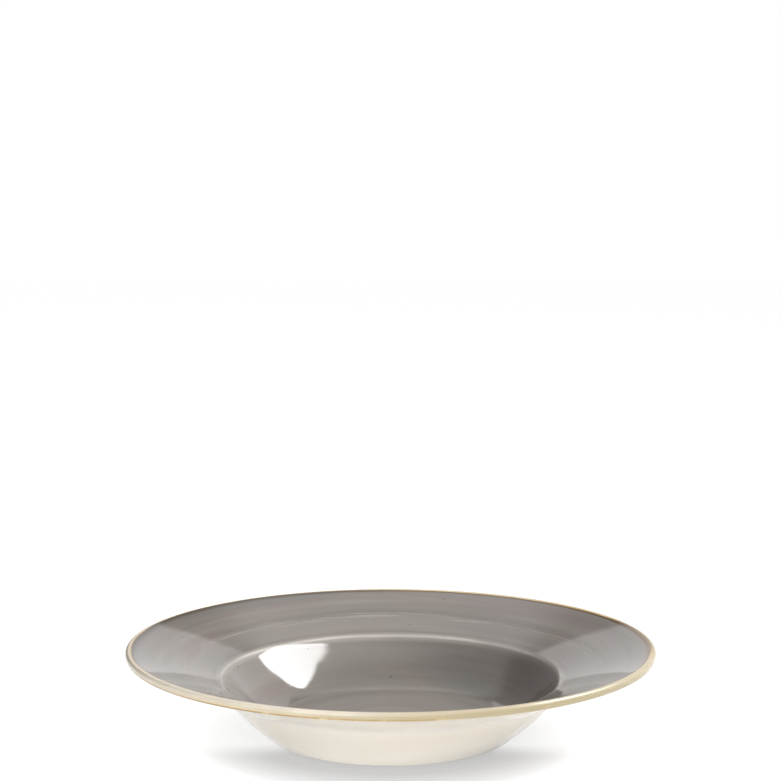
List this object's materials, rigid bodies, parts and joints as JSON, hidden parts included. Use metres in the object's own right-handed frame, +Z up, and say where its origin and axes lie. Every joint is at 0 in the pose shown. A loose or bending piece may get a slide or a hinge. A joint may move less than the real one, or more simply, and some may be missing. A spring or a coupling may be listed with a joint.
{
  "type": "pasta plate",
  "caption": "Wide-rim pasta plate in vitrified stoneware: a deep round well under a broad sloping rim, brushed grey glaze inside, cream outside, amber lines on the edge, on a foot ring.",
  "frame": {"origin": "middle of the foot's plane, on the plate's axis, at table level", "axes": "+Z up along the axis of revolution; X and Y are alike, because the plate is round"},
  "size_m": [0.28, 0.28, 0.0485],
  "materials": {
    "fired_clay": "bare vitrified stoneware, ground smooth and matt, off-white with a fine grog",
    "grey_glaze": "glossy warm mid-grey glaze with concentric hand-brushed strokes that drift between mauve and olive grey, and sparse dark iron specks",
    "amber_line": "glossy iron glaze that breaks from dark brown to amber over the upper corner of the edge",
    "pale_amber_line": "glossy thin amber line along the lower corner of the edge, strong in places and almost gone in others",
    "cream_glaze": "glossy plain cream glaze with a faint warm cloudiness"
  },
  "bodies": {
    "root": {"clay_body": "fired_clay", "face_glaze": "grey_glaze", "upper_edge_line": "amber_line", "edge_glaze": "cream_glaze", "lower_edge_line": "pale_amber_line", "back_glaze": "cream_glaze", "base_glaze": "cream_glaze"}
  },
  "joints": []
}
